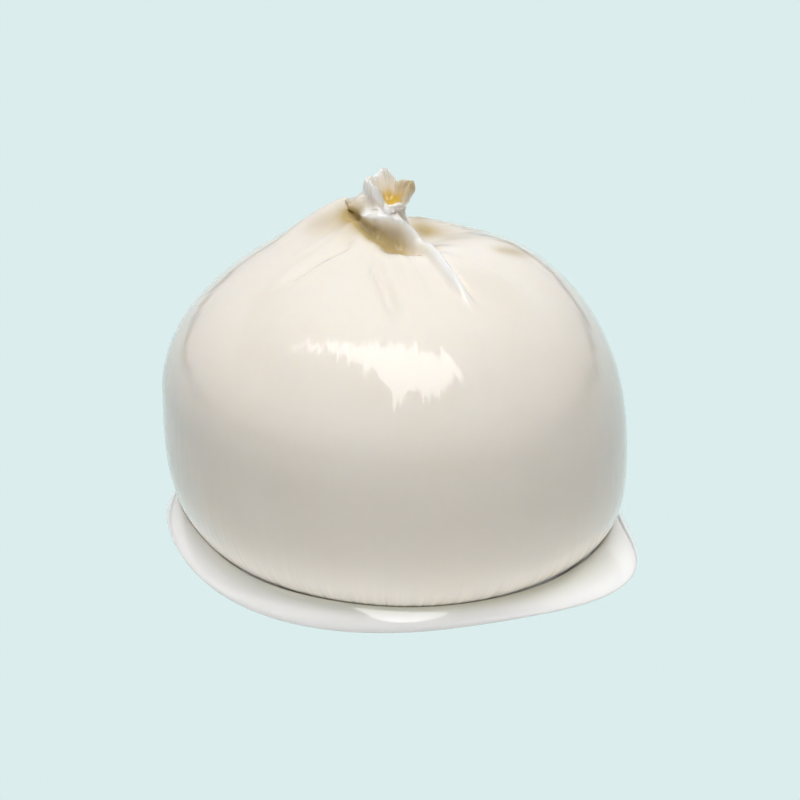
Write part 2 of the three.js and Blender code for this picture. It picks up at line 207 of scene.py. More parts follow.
def swept_object(
    name: str,
    segments: int,
    rings: tuple[Rings, ...],
    place_at: Callable[[Array, Array], Array],
) -> tuple[Object, Array, Array]:
    """Wraps an operator's grid round the axis and shapes it into a swept form.

    Args:
        name: The object's name.
        segments: Meridians round the axis.
        rings: How many rings each part of the profile gets, in order from the lower pole.
        place_at: Gives the place in millimetres of each point from its stage and its angle.

    Returns:
        The object, and the stage and the angle of each of its vertices.
    """
    total = sum(r.count for r in rings)
    bm = bmesh.new()
    bmesh.ops.create_grid(bm, x_segments=segments, y_segments=total, size=1.0)
    mesh = bpy.data.meshes.new(name)
    bm.to_mesh(mesh)
    bm.free()
    u, v, _ = vertex_places(mesh).T
    around, climb = (u + 1.0) * pi, (v + 1.0) * pi / 2.0
    across = np.sin(climb)
    ball = np.stack([across * np.cos(around), across * np.sin(around), -np.cos(climb)])
    mesh.vertices.foreach_set("co", ball.T.ravel())
    # The seam and the two poles close.
    bm = bmesh.new()
    bm.from_mesh(mesh)
    bmesh.ops.remove_doubles(bm, verts=bm.verts, dist=1e-6)
    bm.to_mesh(mesh)
    bm.free()
    x, y, z = vertex_places(mesh).T
    ring = np.arctan2(np.hypot(x, y), -z) / pi * total
    ends = np.cumsum([0, *(r.count for r in rings)])
    stage = np.interp(ring, ends, [0.0, *(r.to_stage for r in rings)])
    angle = np.arctan2(y, x)
    place = (place_at(stage, angle) + np.array(AXIS_SHIFT)) * MM
    mesh.vertices.foreach_set("co", place.ravel())
    mesh.shade_smooth()
    mesh.update()
    piece = bpy.data.objects.new(name, mesh)
    bpy.context.collection.objects.link(piece)
    return piece, stage, angle


def vertex_places(mesh: Mesh) -> Array:
    """Reads the place of every vertex, one a row."""
    flat = np.empty(3 * len(mesh.vertices))
    mesh.vertices.foreach_get("co", flat)
    return flat.reshape(-1, 3)


def store(mesh: Mesh, name: str, values: Array) -> None:
    """Writes one number or one vector for each vertex as an attribute that the materials read."""
    kind, field = ("FLOAT", "value") if values.ndim == 1 else ("FLOAT_VECTOR", "vector")
    layer = mesh.attributes.new(name, kind, "POINT")
    layer.data.foreach_set(field, values.astype(np.float32).ravel())


def mesh_object(name: str, bm: BMesh, material: Material) -> Object:
    """Turns a shape into an object of one material, and frees the shape."""
    mesh = bpy.data.meshes.new(name)
    bm.to_mesh(mesh)
    bm.free()
    mesh.materials.append(material)
    piece = bpy.data.objects.new(name, mesh)
    bpy.context.collection.objects.link(piece)
    return piece


# ---------- the porcelain dish ----------


@dataclass(frozen=True)
class GlazedPorcelain:
    """Glazed white porcelain: a dense body under a clear glass coat with crisp glints.

    Painted shade darkens the glaze to a grey green on the crest and inner face, most in front.
    """

    colour: str = "#f7f7f5"
    # The grey green of a painted shade on the lip where the cheese overhangs it.
    painted_contact_shade: str = "#bfc0ae"
    roughness: float = 0.12
    glaze_ripple_mm: float = 14.0  # a glaze pools in slow ripples about this wide

    def material(self) -> Material:
        """Builds the material."""
        material, tree = new_material("Glazed porcelain")
        where = add_node(tree, "TexCoord")
        ripple = add_node(
            tree,
            "TexNoise",
            {"Scale": 1.0 / (self.glaze_ripple_mm * MM), "Detail": 1.0},
            {"Vector": where.outputs["Object"]},
        )
        bump = add_node(
            tree,
            "Bump",
            {"Strength": 0.12, "Distance": 0.3 * MM},
            {"Height": ripple.outputs["Fac"]},
        )
        # Painted shade: grey green on the crest and the inner face, most at the front.
        shaded_colour = mix_colours(tree, stored_share(tree, "painted_contact_shade"), self.colour, self.painted_contact_shade)
        shader = add_node(
            tree,
            "BsdfPrincipled",
            {
                "Roughness": self.roughness,
                "IOR": 1.5,
                "Coat Weight": 1.0,
                "Coat Roughness": 0.03,
                "Coat IOR": 1.5,
                "Subsurface Weight": 0.45,
                "Subsurface Radius": (1.0, 1.0, 0.85),
                "Subsurface Scale": 3.0 * MM,
            },
            {"Base Color": shaded_colour, "Coat Normal": bump.outputs["Normal"]},
        )
        add_node(tree, "OutputMaterial", links={"Surface": shader.outputs[0]})
        return material


@dataclass(frozen=True)
class Corner:
    """A soft corner of the dish: its direction, how far it pushes out and how far it turns up."""

    angle: float
    push: float
    lift: float


@dataclass(frozen=True)
class Flare:
    """A stretch of the lip that rolls out further: what it adds to the width and to the drop."""

    angle: float
    width: float
    drop: float
    spread: float  # radians


@dataclass
class Dish:
    """The soft three-cornered dish on its round foot ring, with a lip that rolls outwards."""

    floor_height: float = 4.7
    floor_radius: float = 22.0
    wall: float = 3.0
    rim_radius: float = 43.9
    rim_height: float = 9.0
    back_rise: float = 2.0
    back_angle: float = 81.0
    oval_aslant: float = 1.0
    corner_spread: float = 0.31  # radians
    lift_spread: float = 0.35  # radians
    wall_power: float = 3.4
    crest_power: float = 1.25
    foot_radius: float = 27.0
    foot_width: float = 3.0
    foot_recess: float = 1.7
    foot_round: float = 0.5
    foot_taper: float = 0.3
    sole_ease: float = 0.2  # of the sole's width
    fillet_height: float = 1.2
    fillet_rise: float = 2.0
    fillet_share: float = 0.25  # of the way from the foot to the lip
    centre: Pair = (0.2, 4.4)
    lip_width: float = 1.2
    lip_drop: float = 1.32
    lip_under: float = 1.2
    crest_reach: float = 0.25
    edge_reach: float = 0.3
    under_reach: float = 0.6
    # Where the painted grey-green shade lies: along the section, and round the front.
    painted_shade_stages: Pair = (5.3, 6.0)
    painted_shade_angle: float = -80.0
    painted_shade_spread: float = 0.8  # radians
    flares: tuple[Flare, ...] = (
        Flare(-88.0, 0.9, 1.75, 0.6),
        Flare(-145.0, 3.0, 1.22, 0.35),
        Flare(-33.5, 6.6, 0.6, 0.3),
        Flare(-114.0, 0.0, 1.3, 0.3),
        Flare(-18.0, 0.0, 1.5, 0.28),
        Flare(-172.0, 0.0, 1.2, 0.22),
    )
    corners: tuple[Corner, ...] = (
        Corner(-175.4, 1.2, 4.5),
        Corner(-34.2, 8.8, 0.8),
        Corner(75.0, 3.5, 1.5),
    )
    segments: int = 288
    rings: tuple[Rings, ...] = (
        Rings(1.0, 10),  # recess inside the foot ring
        Rings(2.0, 8),  # inner side of the foot ring
        Rings(3.0, 12),  # foot ring's sole and its round edges
        Rings(4.0, 40),  # underside of the wall
        Rings(5.0, 16),  # lip, from the underside to the edge
        Rings(6.0, 24),  # lip, from the edge to the crest
        Rings(7.0, 70),  # inner face
        Rings(8.0, 12),  # flat floor
    )

    def rim_at(self, angle: Array) -> tuple[Array, Array]:
        """The plan radius and the height of the outermost edge at an angle."""
        radius = self.rim_radius + self.oval_aslant * np.sin(2.0 * angle)
        height = self.rim_height + self.back_rise * np.cos(angle - radians(self.back_angle))
        for corner in self.corners:
            centre = radians(corner.angle)
            radius = radius + corner.push * round_bell(angle, centre, self.corner_spread)
            height = height + corner.lift * round_bell(angle, centre, self.lift_spread)
        return radius, height

    def lip_at(self, angle: Array) -> tuple[Array, Array]:
        """How far the lip rolls out and how far it drops, from its crest to the outermost edge."""
        width, drop = self.lip_width, self.lip_drop
        for flare in self.flares:
            share = round_bell(angle, radians(flare.angle), flare.spread)
            width, drop = width + flare.width * share, drop + flare.drop * share
        return width, drop

    def profile(self, stage: Array, angle: Array) -> tuple[Array, Array]:
        """Follows the closed section from the middle of the underside to the middle of the floor.

        Args:
            stage: Where along the section, in the order that rings gives.
            angle: The direction of the section, in radians.

        Returns:
            The radius and the height.
        """
        outer, edge = self.rim_at(angle)
        width, drop = self.lip_at(angle)
        crest, bottom = edge + drop, edge - self.lip_under
        crest_radius = outer - width
        upright = self.edge_reach * drop
        foot_inside = self.foot_radius - self.foot_width
        recess, taper = self.foot_recess, self.foot_taper
        rounding, ease = self.foot_round, self.sole_ease

        def inner(share: Array) -> tuple[Array, Array]:
            climb = 1.0 - (1.0 - share**self.wall_power) ** self.crest_power
            height = blend(self.floor_height, crest, climb)
            return blend(self.floor_radius, crest_radius, share), height

        # How far each point has come through each part of the section, from 0 to 1.
        t = [np.clip(stage - start, 0.0, 1.0) for start in range(len(self.rings))]
        foot_share = (self.foot_radius - self.floor_radius) / (crest_radius - self.floor_radius)
        under_share = blend(foot_share, 1.0, t[3])
        under_radius, under_height = inner(under_share)
        under_height = under_height - blend(self.wall, crest - bottom, under_share)
        # The fillet that joins the foot ring to the wall.
        join = 1.0 - smooth(0.0, self.fillet_share, t[3])
        free = 1.0 - join
        fillet = np.minimum(under_height, self.fillet_height + self.fillet_rise * free)
        under_height = under_height * free + join * fillet
        parts = [
            (foot_inside * t[0], recess),
            (foot_inside + taper * t[1], bezier(recess, recess, rounding, rounding, t[1])),
            (
                blend(foot_inside + taper, self.foot_radius, t[2]),
                rounding * (1.0 - smooth(0.0, ease, t[2]) + smooth(1.0 - ease, 1.0, t[2])),
            ),
            (under_radius, under_height),
            (
                bezier(crest_radius, crest_radius + self.under_reach * width, outer, outer, t[4]),
                bezier(bottom, bottom, edge - upright, edge, t[4]),
            ),
            (
                bezier(outer, outer, crest_radius + self.crest_reach * width, crest_radius, t[5]),
                bezier(edge, edge + upright, crest, crest, t[5]),
            ),
            inner(np.clip(7.0 - stage, 0.0, 1.0)),
            (self.floor_radius * np.clip(8.0 - stage, 0.0, 1.0), self.floor_height),
        ]
        within = [stage <= end for end in range(1, len(parts) + 1)]
        radius, height = (np.select(within, list(values)) for values in zip(*parts))
        return radius, height

    def place(self, stage: Array, angle: Array) -> Array:
        """The place of each point of the dish, in millimetres."""
        radius, height = self.profile(np.minimum(stage, 8.0 - 1e-9), angle)
        x, y = self.centre
        return np.stack([x + radius * np.cos(angle), y + radius * np.sin(angle), height], axis=-1)

    def build(self) -> Object:
        """Makes the dish and dresses it."""
        piece, stage, angle = swept_object("porcelain_dish", self.segments, self.rings, self.place)
        # Painted shade under the cheese's overhang: on the crest and inner face, most at the front.
        front = round_bell(angle, radians(self.painted_shade_angle), self.painted_shade_spread)
        store(piece.data, "painted_contact_shade", smooth(*self.painted_shade_stages, stage) * front)
        piece.data.materials.append(GlazedPorcelain().material())
        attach(piece, "root")
        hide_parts("dish")
        return piece


# ---------- the cheese ----------

PLEAT_CIRCLE = 10.0  # the radius round the neck at which a pleat's angle is given
STEP_SCALE = 1.6  # a step of depth 1 then swings about 0.7 each way


@dataclass(frozen=True)
class CurdSkin:
    """Stretched curd, wet with whey: a milky skin that light enters, with a thin glossy film on it.

    Pulling and folding leaves fibres that run down from the tie, which fray a reflection's edges.
    Cream seen through thin folded skin, and painted shade, tint the hollows and creases
    brownish yellow; a near-white painted sheen stands for the glints on the knot and the strip.
    """

    milk: str = "#f5f0e8"
    ivory: str = "#f0e7da"
    # Brownish yellow: cream through thin skin, and painted shade in the hollows and creases.
    cream_and_shade: str = "#bfa976"
    # Near white: a painted sheen that stands for the glossy glints on the knot and the strip.
    painted_sheen: str = "#fafcfd"
    butter: str = "#cfae4a"
    roughness: float = 0.34
    film_roughness: float = 0.02
    fibre_mm: float = 1.1  # the width of a bundle of pulled fibres
    fibre_tilt: float = 0.2
    mottle_mm: float = 16.0

    def material(self) -> Material:
        """Builds the material."""
        material, tree = new_material("Stretched curd skin")
        where = add_node(tree, "TexCoord")
        fibre_place = add_node(tree, "Attribute", attribute_name="fibre")
        mottle = add_node(
            tree,
            "TexNoise",
            {"Scale": 1.0 / (self.mottle_mm * MM), "Detail": 3.0, "Roughness": 0.55},
            {"Vector": where.outputs["Object"]},
        )
        colour = mix_colours(tree, mottle.outputs["Fac"], self.milk, self.ivory)
        # The brownish wash is cream and painted shade; the near-white layer is a painted sheen.
        for name, tone in (("cream_and_shade", self.cream_and_shade), ("painted_sheen", self.painted_sheen), ("butter", self.butter)):
            colour = mix_colours(tree, stored_share(tree, name), colour, tone)
        fibres = add_node(
            tree,
            "TexNoise",
            {"Scale": 1.0 / (self.fibre_mm * MM), "Detail": 3.0, "Roughness": 0.65},
            {"Vector": fibre_place.outputs["Vector"]},
        )
        grain = add_node(
            tree,
            "Bump",
            {"Strength": 0.5, "Distance": 0.05 * MM},
            {"Height": fibres.outputs["Fac"]},
        )
        # Each fibre tilts the film a little up or down along itself.
        facing = add_node(tree, "NewGeometry")
        level = add_node(tree, "Tangent", direction_type="RADIAL", axis="Z")
        down = add_node(
            tree,
            "VectorMath",
            links={0: facing.outputs["Normal"], 1: level.outputs[0]},
            operation="CROSS_PRODUCT",
        )
        tilt = add_node(
            tree,
            "MapRange",
            {"To Min": -self.fibre_tilt, "To Max": self.fibre_tilt},
            {"Value": fibres.outputs["Fac"]},
            clamp=False,
        )
        tilted = add_node(
            tree,
            "VectorMath",
            links={0: down.outputs[0], "Scale": tilt.outputs[0]},
            operation="SCALE",
        )
        film = add_node(
            tree, "VectorMath", links={0: facing.outputs["Normal"], 1: tilted.outputs[0]}
        )
        shader = add_node(
            tree,
            "BsdfPrincipled",
            {
                "Roughness": self.roughness,
                "IOR": 1.4,
                "Specular IOR Level": 0.1,
                "Coat Weight": 1.0,
                "Coat Roughness": self.film_roughness,
                "Coat IOR": 1.45,
                "Subsurface Weight": 0.35,
                "Subsurface Radius": (1.0, 0.8, 0.55),
                "Subsurface Scale": 3.0 * MM,
            },
            {
                "Base Color": colour,
                "Normal": grain.outputs["Normal"],
                "Coat Normal": film.outputs[0],
            },
        )
        add_node(tree, "OutputMaterial", links={"Surface": shader.outputs[0]})
        return material


class PleatForm(Enum):
    """The cross-section of a pleat, as a function of the offset from its line over its width."""

    GROOVE = "groove"
    RIDGE = "ridge"
    STEP = "step"

    def relief(self, offset: Array) -> Array:
        """The height of the skin at an offset, for a pleat of depth 1."""
        hump = np.exp(-offset * offset)
        if self is PleatForm.GROOVE:
            return -hump
        return hump if self is PleatForm.RIDGE else STEP_SCALE * offset * hump


@dataclass(frozen=True)
class Pleat:
    """A pleat that runs out from the tie.

    The angle is where it crosses PLEAT_CIRCLE, and twist is the degrees that it turns for each
    e-fold of radius further out.
    """

    form: PleatForm
    angle: float
    twist: float
    depth: float
    width: float
    inner: float
    outer: float

    def relief(self, radius: Array, angle: Array) -> Array:
        """The height that this pleat adds to the skin, in millimetres."""
        line = np.radians(self.angle + self.twist * np.log(radius / PLEAT_CIRCLE))
        width = self.width * (0.5 + 0.5 * np.minimum(radius / 14.0, 2.0))
        window = smooth(0.8 * self.inner, 1.5 * self.inner, radius)
        fade = 1.0 - smooth(0.45 * self.outer, self.outer, radius)
        return self.depth * self.form.relief(turn(angle, line) * radius / width) * window * fade


@dataclass(frozen=True)
class Fold:
    """A fold or a crease that runs along its own line over the skin.

    The route gives a stage and an angle for each point that the line passes. A positive height
    raises a rounded fold, a negative one presses a crease in, and both taper towards the end.
    """

    height: float
    width: float
    narrowing: float
    fade_in: float
    fade_out: float
    route: tuple[Pair, ...]
    crispness: float = 2.0  # 2 is a soft wave, more is flatter on top with steeper sides

    def relief(self, distance: Array, share: Array) -> Array:
        """The height that this fold adds at a distance from its line, in millimetres."""
        fade = smooth(0.0, self.fade_in, share) * (1.0 - smooth(self.fade_out, 1.0, share))
        width = self.width * (1.0 - self.narrowing * np.sqrt(share))
        return self.height * fade * np.exp(-((distance / width) ** self.crispness))


@dataclass(frozen=True)
class Peak:
    """A stretch of the knot's lip that stands higher or lower than the rest."""

    angle: float
    rise: float
    spread: float  # radians


@dataclass(frozen=True)
class CreamShadeSpot:
    """A soft spot of cream and painted shade: its place, its reach and its strength."""

    stage: float
    angle: float
    reach: float
    strength: float


@dataclass
class Burrata:
    """The gathered and tied pouch of cheese.

    Stages of the profile: 0 to 1 the body, 1 to 2 the neck, 2 to 3 the outside of the knot, and
    3 to 4 the inside of the knot's open end.
    """

    radius: float = 44.9
    lopside: float = 1.0
    centre_x: float = -0.9
    girth_height: float = 33.6
    girth_tilt: float = 6.9
    top_height: float = 71.5
    bottom_height: float = 5.0
    lower_power: float = 3.35
    upper_power: float = 2.1
    upper_power_swing: float = 0.17
    gather_height: float = 0.5
    gather_swing: float = 4.9
    gather_angle: float = 165.0
    gather_reach: float = 15.0
    gather_power: float = 1.7
    neck: Pair = (-1.6, 3.0)
    join_radius: float = 9.0
    join_reach: float = 2.6
    tie_reach: float = 2.5
    tie_radius: float = 4.2
    tie_height: float = 76.2
    drift_outer: float = 34.0
    lean: Pair = (0.3, -0.4)
    lean_heights: Pair = (73.0, 82.0)
    lip_radius: float = 4.3
    belly: float = 0.7
    lip_height: float = 80.1
    peaks: tuple[Peak, ...] = (
        Peak(98.0, 1.3, 0.3),
        Peak(60.0, -0.9, 0.3),
        Peak(150.0, 0.4, 0.3),
        Peak(-178.0, -1.5, 0.3),
        Peak(-144.0, 1.4, 0.32),
        Peak(10.0, 0.1, 0.25),
    )
    mouth_from: float = -110.0
    mouth_to: float = -26.0
    mouth_ease: float = 14.0
    mouth_depth: float = 3.5
    cavity_height: float = 75.6
    cavity_radius: float = 2.5
    cavity_shift: Pair = (0.5, 0.3)
    lip_round: float = 1.0
    lip_inset: float = 0.9
    lip_wave: float = 0.22
    knot_reach: Pair = (2.0, 2.5)
    frill_stages: Quad = (1.75, 2.9, 3.3, 3.9)
    cavity_stages: Pair = (3.0, 3.7)
    girth_stage: float = 0.5
    edge_stage: float = 2.9  # the folds stop just short of the knot's lip
    hollow_radius: float = 7.6
    hollow_reach: float = 2.6
    hollow_angle: float = -74.0
    hollow_spread: float = 0.5  # radians
    hollow_depth: float = 1.8
    wave_height: float = 0.34
    wave_fade: Pair = (7.0, 19.0)
    calm_angle: float = 25.0  # the side of the shoulder that has next to no waves
    calm_spread: float = 0.7  # radians
    side_height: float = 2.5
    side_angle: float = 178.0
    side_spread: float = 0.5  # radians
    side_stages: Triple = (1.2, 1.9, 2.6)
    route_steps: int = 24
    fold_reach: float = 6.0  # no fold is felt further than this from its line
    # The brownish wash of cream and painted shade in the hollow and on the knot's right lobe.
    hollow_shade_tint: float = 0.75
    lobe_shade_tint: float = 0.9
    lobe_stages: Pair = (2.2, 2.9)
    lobe_spread: float = 0.75  # radians
    # The painted sheen on the strip round the tie and on the knot, which stands for their glints.
    sheen_strength: float = 0.6
    sheen_stages: Quad = (2.2, 2.7, 3.1, 3.4)
    sheen_gap: float = 0.8  # radians
    butter_stages: Pair = (3.5, 3.75)
    fibre_stretch: float = 14.0
    segments: int = 300
    rings: tuple[Rings, ...] = (
        Rings(0.5, 62),  # below the girth
        Rings(1.0, 120),  # the shoulder and its pleats
        Rings(2.0, 52),  # the neck
        Rings(3.0, 42),  # the knot's outside
        Rings(4.0, 34),  # the knot's open end
    )
    pleats: tuple[Pleat, ...] = (
        Pleat(PleatForm.RIDGE, 163.0, 8.0, 1.5, 3.6, 3.0, 24.0),
        Pleat(PleatForm.GROOVE, 140.0, 4.0, 1.3, 1.8, 4.0, 26.0),
        Pleat(PleatForm.GROOVE, 108.0, -8.0, 1.2, 2.0, 4.0, 25.0),
        Pleat(PleatForm.STEP, 78.0, 10.0, 0.8, 2.4, 4.0, 30.0),
        Pleat(PleatForm.GROOVE, 68.0, 0.0, 0.7, 9.0, 5.0, 36.0),
        Pleat(PleatForm.GROOVE, 36.0, 4.0, 1.5, 7.0, 3.0, 30.0),
        Pleat(PleatForm.RIDGE, 20.0, 0.0, 0.3, 8.0, 14.0, 52.0),
        Pleat(PleatForm.GROOVE, -150.0, -6.0, 0.35, 1.8, 8.0, 24.0),
    )
    folds: tuple[Fold, ...] = (
        # The strip of skin wound round the tie, which runs on down the shoulder.
        Fold(
            height=1.9, width=2.1, narrowing=0.62, fade_in=0.12, fade_out=0.75, crispness=3.0,
            route=(
                (1.78, -150.0), (1.79, -130.0), (1.79, -105.0), (1.74, -80.0), (1.62, -58.0),
                (1.45, -43.0), (1.25, -38.0), (0.993, -41.0), (0.95, -52.8), (0.913, -56.2),
                (0.883, -56.8), (0.858, -56.2), (0.832, -55.0),
            ),
        ),
        # The crease that the strip pulls in along its right side.
        Fold(
            height=-0.4, width=0.8, narrowing=0.3, fade_in=0.25, fade_out=0.7,
            route=(
                (1.05, -22.0), (0.985, -32.0), (0.948, -47.5), (0.913, -51.7), (0.883, -53.0),
                (0.85, -52.8),
            ),
        ),
        # The thick fold that leans on the tie's left side and passes under the strip.
        Fold(
            height=0.8, width=1.6, narrowing=0.2, fade_in=0.35, fade_out=0.8,
            route=((2.2, -178.0), (1.95, -165.0), (1.75, -150.0), (1.55, -130.0), (1.45, -112.0)),
        ),
        # The groove between that fold and the left shoulder.
        Fold(
            height=-0.9, width=1.3, narrowing=0.0, fade_in=0.2, fade_out=0.85,
            route=(
                (1.25, 170.0), (1.5, -172.0), (1.42, -149.0), (1.33, -126.0), (1.26, -107.0),
                (1.2, -94.0),
            ),
        ),
        # The middle pleat of the front.
        Fold(
            height=-1.4, width=1.35, narrowing=0.0, fade_in=0.2, fade_out=0.6,
            route=((0.975, -101.0), (0.93, -95.2), (0.893, -91.0), (0.858, -88.5), (0.81, -85.8)),
        ),
        # The long pleat that curves to the left.
        Fold(
            height=-0.9, width=1.5, narrowing=0.2, fade_in=0.2, fade_out=0.7,
            route=(
                (0.995, -123.0), (0.963, -129.0), (0.928, -135.8), (0.89, -140.0), (0.84, -142.5),
            ),
        ),
    )
    # Spots of cream and painted shade in the valleys round the tie and on the right shoulder.
    cream_and_shade_spots: tuple[CreamShadeSpot, ...] = (
        CreamShadeSpot(1.26, -105.0, 1.7, 0.9), CreamShadeSpot(1.25, -94.0, 1.8, 0.6), CreamShadeSpot(1.25, -118.0, 1.8, 0.7),
        CreamShadeSpot(1.35, -132.0, 1.8, 0.8), CreamShadeSpot(1.5, -152.0, 1.8, 0.8), CreamShadeSpot(1.7, -172.0, 2.4, 0.8),
        CreamShadeSpot(1.28, -160.0, 2.4, 0.7), CreamShadeSpot(1.27, -67.0, 2.6, 0.4), CreamShadeSpot(1.1, -20.0, 2.4, 0.6),
        CreamShadeSpot(0.985, 50.0, 3.4, 0.9), CreamShadeSpot(0.975, 20.0, 4.0, 0.45), CreamShadeSpot(0.955, 42.0, 4.0, 0.3),
        CreamShadeSpot(0.95, 68.0, 3.0, 0.6), CreamShadeSpot(0.908, -2.5, 1.9, 0.45), CreamShadeSpot(0.89, 1.7, 2.2, 0.55),
        CreamShadeSpot(0.873, 7.8, 2.2, 0.5), CreamShadeSpot(0.985, -165.0, 4.0, 0.25),
        CreamShadeSpot(0.965, -172.0, 3.0, 0.2), CreamShadeSpot(1.0, -140.0, 3.0, 0.25),
        CreamShadeSpot(1.15, -168.0, 3.0, 0.25),
    )

    # ---- the smooth skin ----

    def upper_power_at(self, angle: Array) -> Array:
        """The fullness of the shoulder at an angle."""
        return self.upper_power + self.upper_power_swing * np.cos(angle)

    def join_phi(self, angle: Array) -> Array:
        """The profile angle at which the body has narrowed to the neck."""
        full = self.radius + self.lopside * np.cos(angle)
        return np.arccos((self.join_radius / full) ** (self.upper_power_at(angle) / 2.0))

    def body(self, phi: Array, angle: Array) -> tuple[Array, Array]:
        """Radius and height of the body at a profile angle phi, in radians above the girth."""
        across = np.cos(angle)
        upper = phi >= 0
        power = np.where(upper, self.upper_power_at(angle), self.lower_power)
        girth = self.girth_height - self.girth_tilt * across
        reach = np.where(upper, self.top_height - girth, girth - self.bottom_height)
        radius = (self.radius + self.lopside * across) * np.abs(np.cos(phi)) ** (2.0 / power)
        towards = np.cos(angle - radians(self.gather_angle))
        climb = self.gather_height + self.gather_swing * towards
        nearness = np.exp(-((radius / self.gather_reach) ** self.gather_power))
        gather = np.where(upper, climb * nearness, 0.0)
        height = girth + reach * np.sign(phi) * np.abs(np.sin(phi)) ** (2.0 / power) + gather
        return radius, height

    def lip_height_at(self, angle: Array) -> Array:
        """The height of the knot's lip: lobed all round, and low at the mouth in front."""
        height = self.lip_height + self.lip_wave * np.cos(7.0 * angle + 0.6)
        for peak in self.peaks:
            height = height + peak.rise * round_bell(angle, radians(peak.angle), peak.spread)
        middle, ease = self.mouth_from + 90.0, self.mouth_ease
        degrees = np.degrees(turn(angle, radians(middle))) + middle
        opens = smooth(self.mouth_from - ease, self.mouth_from + ease, degrees)
        closes = smooth(self.mouth_to - ease, self.mouth_to + ease, degrees)
        return height - self.mouth_depth * (opens - closes)

    def skin_profile(self, stage: Array, angle: Array) -> tuple[Array, Array]:
        """Radius and height of the smooth skin at a stage of the profile."""
        top = self.join_phi(angle)
        body = self.body(-pi / 2 + np.clip(stage, 0, 1) * (top + pi / 2), angle)
        join = self.body(top, angle)
        before = self.body(top - 0.02, angle)  # a little lower, for the slope there
        slope = (join[1] - before[1]) / (join[0] - before[0])
        t = np.clip(stage - 1.0, 0.0, 1.0)
        foot_of_tie = self.tie_height - self.tie_reach
        neck = (
            bezier(join[0], join[0] - self.join_reach, self.tie_radius, self.tie_radius, t),
            bezier(join[1], join[1] - self.join_reach * slope, foot_of_tie, self.tie_height, t),
        )
        lip = self.lip_height_at(angle)
        tie, end = self.tie_radius, self.lip_radius
        rise, drop = self.knot_reach
        t = np.clip(stage - 2.0, 0.0, 1.0)
        knot = (
            bezier(tie, tie, end + self.belly, end, t),
            bezier(self.tie_height, self.tie_height + rise, lip - drop, lip, t),
        )
        t = np.clip(stage - 3.0, 0.0, 1.0)
        cavity = (
            bezier(self.lip_radius, self.lip_radius - self.lip_inset, self.cavity_radius, 0.0, t),
            bezier(lip, lip + self.lip_round, self.cavity_height, self.cavity_height, t),
        )
        choice = [stage <= 1, stage <= 2, stage <= 3]
        radius = np.select(choice, [body[0], neck[0], knot[0]], cavity[0])
        height = np.select(choice, [body[1], neck[1], knot[1]], cavity[1])
        return radius, height

    def skin(self, stage: Array, angle: Array) -> tuple[Array, Array]:
        """The smooth skin in space: its points, and their radii round the ring's own centre."""
        radius, height = self.skin_profile(stage, angle)
        near = 1.0 - smooth(self.join_radius, self.drift_outer, radius)
        drift = np.where(stage > 1, 1.0, np.where(stage > self.girth_stage, near, 0.0))
        lean = np.where(stage > 1, smooth(*self.lean_heights, height), 0.0)
        inside = smooth(*self.cavity_stages, stage)
        x = blend(self.centre_x, self.neck[0], drift) + self.lean[0] * lean
        x = x + self.cavity_shift[0] * inside
        y = self.neck[1] * drift + self.lean[1] * lean + self.cavity_shift[1] * inside
        place = np.stack([x + radius * np.cos(angle), y + radius * np.sin(angle), height], axis=-1)
        return place, radius

    # ---- relief ----

    def hollow(self, radius: Array, angle: Array) -> Array:
        """How much of a point lies in the hollow in front of the neck, from 0 to 1."""
        outwards = bell(radius - self.hollow_radius, self.hollow_reach)
        return outwards * bell(turn(angle, radians(self.hollow_angle)), self.hollow_spread)

    def gathers(self, radius: Array, angle: Array) -> Array:
        """Fine waves of the gathered skin between the pleats, in millimetres."""
        spiral = np.log(radius / 5.0)
        wave = 11.0 * angle + 2.6 * spiral + 0.9 * np.sin(2.0 * angle + 0.5)
        finer = np.cos(17.0 * angle - 2.0 * spiral)
        calm = round_bell(angle, radians(self.calm_angle), self.calm_spread)
        fade = (1.0 - smooth(*self.wave_fade, radius)) * (1.0 - 0.85 * calm)
        return self.wave_height * (0.6 * np.cos(wave) + 0.4 * finer) * fade

    def along(self, route: tuple[Pair, ...], place: Array) -> tuple[Array, Array]:
        """Measures each point against a line over the skin.

        Args:
            route: The stage and the angle of each point that the line passes.
            place: The points of the smooth skin.

        Returns:
            The distance to the line, and how far along the line from 0 to 1.
        """
        stops = [self.skin(np.array(stage), np.radians(angle))[0] for stage, angle in route]
        line = catmull_rom(np.array(stops), self.route_steps)
        low, high = line.min(axis=0) - self.fold_reach, line.max(axis=0) + self.fold_reach
        near = np.all((place > low) & (place < high), axis=1)
        close = place[near]
        best = np.full(len(close), 1e9)
        share = np.zeros(len(close))
        for i, point in enumerate(line):
            distance = np.linalg.norm(close - point, axis=1)
            closer = distance < best
            best = np.where(closer, distance, best)
            share = np.where(closer, i / (len(line) - 1), share)
        distances, shares = np.full(len(place), 1e9), np.zeros(len(place))
        distances[near], shares[near] = best, share
        return distances, shares

    def frills(self, stage: Array, angle: Array) -> Array:
        """The lobes of the frilled knot, outwards, in millimetres."""
        start, full, ebbing, gone = self.frill_stages
        grown = smooth(start, full, stage) * (1.0 - smooth(ebbing, gone, stage))
        lobes = 0.35 * np.cos(3 * angle + 0.2) + 0.3 * np.cos(5 * angle - 1.2)
        lobes = lobes + 0.2 * np.cos(9 * angle + 0.4 + 0.8 * np.sin(2.5 * stage))
        wrinkles = 0.13 * np.cos(19 * angle + 2.0 * np.sin(3 * angle) + stage)
        wrinkles = wrinkles + 0.07 * np.cos(33 * angle - stage)
        return (lobes + wrinkles) * grown

